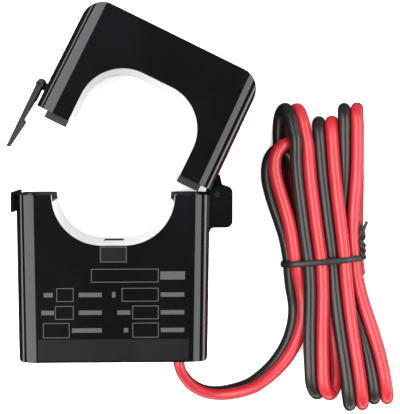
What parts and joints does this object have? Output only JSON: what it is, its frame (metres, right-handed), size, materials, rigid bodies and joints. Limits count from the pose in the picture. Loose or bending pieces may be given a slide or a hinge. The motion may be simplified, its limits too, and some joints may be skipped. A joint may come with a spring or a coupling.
{
  "type": "split-core current transformer",
  "caption": "Clip-on current transformer: window in a base and a hinged, latched jaw, glossy black cases, dark pole collars, twin red and black lead in a tied hank.",
  "frame": {"origin": "on the base's rear face, on the centre plane, in the web under the window, 32 mm below the parting plane", "axes": "+Z out of the front face and along the conductor window; +Y from the base towards the jaw; +X towards the hinge"},
  "size_m": [0.1197, 0.1247, 0.0401],
  "materials": {
    "case": "glossy moulded black plastic",
    "lining": "satin dark grey moulded plastic",
    "core": "wound steel strip, ground at the pole faces",
    "bobbin": "natural nylon",
    "copper_wire": "enamelled copper wire",
    "bush": "black rubber",
    "panel": "plain satin panel, no print",
    "pin_steel": "drawn steel",
    "latch": "satin dark grey moulded plastic",
    "red_sheath": "soft glossy red PVC",
    "black_sheath": "soft black PVC",
    "tie": "plastic-covered wire"
  },
  "bodies": {
    "base": {"base_shell": "case", "base_lining": "lining", "base_core": "core", "bobbin": "bobbin", "winding": "copper_wire", "lead_bush": "bush", "lead_tail_red": "red_sheath", "lead_tail_black": "black_sheath", "joint_sleeve_red": "red_sheath", "joint_sleeve_black": "black_sheath", "front_inlay": "panel", "plain_panel": "panel", "hinge_pin": "pin_steel", "lead_red": "red_sheath", "lead_black": "black_sheath", "hank": "black_sheath", "hank_tie": "tie"},
    "jaw": {"jaw_shell": "case", "jaw_lining": "lining", "jaw_core": "core", "core_spring": "pin_steel", "latch_pin": "pin_steel"},
    "latch": {"latch": "latch"}
  },
  "joints": [
    {"name": "jaw_hinge", "type": "hinge", "parent": "base", "child": "jaw", "pos_m": [0.0307, 0.032, 0.02], "axis": [0, 0, -1], "range_deg": [-26, 0]},
    {"name": "latch_hinge", "type": "hinge", "parent": "jaw", "child": "latch", "pos_m": [-0.02209, 0.06498, 0.02], "axis": [0, 0, -1], "range_deg": [-5, 30]}
  ]
}
